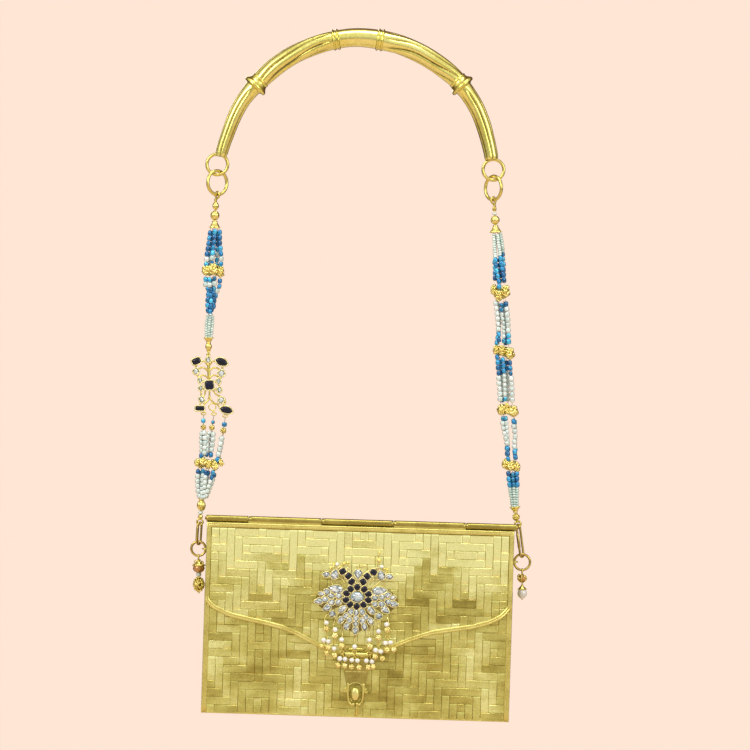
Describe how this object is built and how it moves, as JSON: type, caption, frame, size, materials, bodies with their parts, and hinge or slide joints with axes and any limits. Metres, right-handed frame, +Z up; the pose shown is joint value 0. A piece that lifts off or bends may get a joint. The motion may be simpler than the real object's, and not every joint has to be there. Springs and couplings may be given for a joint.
{
  "type": "evening bag",
  "caption": "Rigid metal evening bag with a raised basket-weave finish, hinged front flap and hasp, stone-set brooch, beaded straps and an arched tube handle.",
  "frame": {"origin": "under the middle of the handle's crown, where a hand or a peg carries the bag", "axes": "+Z up, -Y towards the bag's front, +X to the right seen from the front"},
  "size_m": [0.2253, 0.0415, 0.4565],
  "materials": {
    "polished_gold": "polished gold plate",
    "ring_gold": "gold-plated wire, lightly worn",
    "bead_gold": "granulated gold beads",
    "dark_bead_gold": "antique gold",
    "woven_gold": "raised strips, fine sandblasted texture",
    "satin_lining": "satin",
    "blue_glass": "glossy seed beads",
    "white_glass": "pearly seed beads",
    "mint_glass": "pearly seed beads",
    "pearl": "pearl lustre",
    "clear_stone": "foil-backed cut stone",
    "dark_stone": "dark cabochon"
  },
  "bodies": {
    "handle": {"handle_tube": "polished_gold", "collar_thin_left": "polished_gold", "collar_thin_right": "polished_gold", "collar_big_left": "polished_gold", "collar_big_right": "polished_gold", "end_ring_left": "ring_gold", "end_ring_right": "ring_gold"},
    "link_left": {"link_ring_left": "ring_gold"},
    "link_right": {"link_ring_right": "ring_gold"},
    "strap_left": {"left_top_stack": "bead_gold", "left_strands_upper": "blue_glass", "left_cluster_upper": "bead_gold", "left_strands_middle": "blue_glass", "left_middle_stack": "bead_gold", "left_connector": "bead_gold", "left_strands_lower": "white_glass", "left_cluster_lower": "bead_gold", "left_strands_last": "white_glass", "left_lower_stack": "bead_gold"},
    "strap_right": {"right_top_stack": "bead_gold", "right_strands_1": "blue_glass", "right_strands_2": "white_glass", "right_strands_3": "white_glass", "right_strands_4": "white_glass", "right_strands_5": "mint_glass", "right_cluster_1": "bead_gold", "right_cluster_2": "bead_gold", "right_cluster_3": "bead_gold", "right_cluster_4": "bead_gold", "right_lower_stack": "bead_gold"},
    "hook_left": {"hook_link_left": "ring_gold", "side_ring_left": "ring_gold"},
    "hook_right": {"hook_link_right": "ring_gold", "side_ring_right": "ring_gold"},
    "tassel_left": {"tassel_left": "dark_bead_gold"},
    "tassel_right": {"tassel_right": "dark_bead_gold"},
    "case": {"case_shell": "woven_gold", "front_panel": "woven_gold", "lining": "satin_lining", "hinge_pin": "dark_bead_gold", "clasp_stud": "polished_gold"},
    "flap": {"flap": "woven_gold", "hasp_bracket": "polished_gold", "hasp_pin": "polished_gold", "brooch_frame": "bead_gold", "centre_stone": "clear_stone"},
    "hasp": {"hasp": "polished_gold"},
    "dangle_1": {"dangle_1": "pearl"},
    "dangle_2": {"dangle_2": "pearl"},
    "dangle_3": {"dangle_3": "pearl"},
    "dangle_4": {"dangle_4": "pearl"},
    "dangle_5": {"dangle_5": "pearl"},
    "dangle_6": {"dangle_6": "pearl"},
    "dangle_7": {"dangle_7": "pearl"}
  },
  "joints": [
    {"name": "chain_swing_left", "type": "hinge", "parent": "handle", "child": "link_left", "pos_m": [-0.09286, 0, -0.08466], "axis": [-0.9998, 0, 0.0196], "range_deg": [-25, 25]},
    {"name": "chain_swing_right", "type": "hinge", "parent": "handle", "child": "link_right", "pos_m": [0.08936, 0, -0.08823], "axis": [-0.9998, 0, 0.0196], "range_deg": [-25, 25]},
    {"name": "strap_sway_left", "type": "hinge", "parent": "link_left", "child": "strap_left", "pos_m": [-0.09286, 0, -0.09781], "axis": [0, 1, 0], "range_deg": [-6, 6]},
    {"name": "strap_sway_right", "type": "hinge", "parent": "link_right", "child": "strap_right", "pos_m": [0.08936, 0, -0.10138], "axis": [0, 1, 0], "range_deg": [-6, 6]},
    {"name": "hook_tilt_left", "type": "hinge", "parent": "strap_left", "child": "hook_left", "pos_m": [-0.10435, 0, -0.31495], "axis": [0, 1, 0], "range_deg": [-5.3, 5.3]},
    {"name": "hook_tilt_right", "type": "hinge", "parent": "strap_right", "child": "hook_right", "pos_m": [0.10553, 0, -0.31634], "axis": [0, 1, 0], "range_deg": [-5.3, 5.3]},
    {"name": "case_swing", "type": "hinge", "parent": "hook_left", "child": "case", "pos_m": [-0.10528, 0, -0.3314], "axis": [-0.9991, 0, 0.0417], "range_deg": [-20, 20]},
    {"name": "flap_hinge", "type": "hinge", "parent": "case", "child": "flap", "pos_m": [0.00197, -0.01205, -0.31391], "axis": [-0.9995, 0, 0.0314], "range_deg": [0, 150]},
    {"name": "hasp_hinge", "type": "hinge", "parent": "flap", "child": "hasp", "pos_m": [-0.00094, -0.01635, -0.40036], "axis": [-0.9995, 0, 0.0314], "range_deg": [0, 75]},
    {"name": "tassel_left_swing", "type": "hinge", "parent": "hook_left", "child": "tassel_left", "pos_m": [-0.10528, 0, -0.3361], "axis": [-1, 0, 0], "range_deg": [-30, 30]},
    {"name": "tassel_right_swing", "type": "hinge", "parent": "hook_right", "child": "tassel_right", "pos_m": [0.10834, 0, -0.34552], "axis": [-1, 0, 0], "range_deg": [-30, 30]},
    {"name": "dangle_1_swing", "type": "hinge", "parent": "flap", "child": "dangle_1", "pos_m": [-0.02153, -0.0207, -0.37783], "axis": [-0.9995, 0, 0.0314], "range_deg": [0, 70]},
    {"name": "dangle_2_swing", "type": "hinge", "parent": "flap", "child": "dangle_2", "pos_m": [-0.01585, -0.0207, -0.38245], "axis": [-0.9995, 0, 0.0314], "range_deg": [0, 70]},
    {"name": "dangle_3_swing", "type": "hinge", "parent": "flap", "child": "dangle_3", "pos_m": [-0.01017, -0.0207, -0.38872], "axis": [-0.9995, 0, 0.0314], "range_deg": [0, 70]},
    {"name": "dangle_4_swing", "type": "hinge", "parent": "flap", "child": "dangle_4", "pos_m": [-0.00201, -0.0207, -0.39367], "axis": [-0.9995, 0, 0.0314], "range_deg": [0, 70]},
    {"name": "dangle_5_swing", "type": "hinge", "parent": "flap", "child": "dangle_5", "pos_m": [0.00766, -0.0207, -0.38938], "axis": [-0.9995, 0, 0.0314], "range_deg": [0, 70]},
    {"name": "dangle_6_swing", "type": "hinge", "parent": "flap", "child": "dangle_6", "pos_m": [0.01382, -0.0207, -0.38377], "axis": [-0.9995, 0, 0.0314], "range_deg": [0, 70]},
    {"name": "dangle_7_swing", "type": "hinge", "parent": "flap", "child": "dangle_7", "pos_m": [0.02005, -0.0207, -0.37915], "axis": [-0.9995, 0, 0.0314], "range_deg": [0, 70]}
  ],
  "couplings": [
    {"joint": "chain_swing_right", "follows": "chain_swing_left", "ratio": 1},
    {"joint": "strap_sway_right", "follows": "strap_sway_left", "ratio": 1},
    {"joint": "hook_tilt_left", "follows": "strap_sway_left", "ratio": -0.868},
    {"joint": "hook_tilt_right", "follows": "strap_sway_left", "ratio": -0.868},
    {"joint": "dangle_3_swing", "follows": "hasp_hinge", "ratio": 0.9},
    {"joint": "dangle_4_swing", "follows": "hasp_hinge", "ratio": 0.9},
    {"joint": "dangle_5_swing", "follows": "hasp_hinge", "ratio": 0.9}
  ]
}
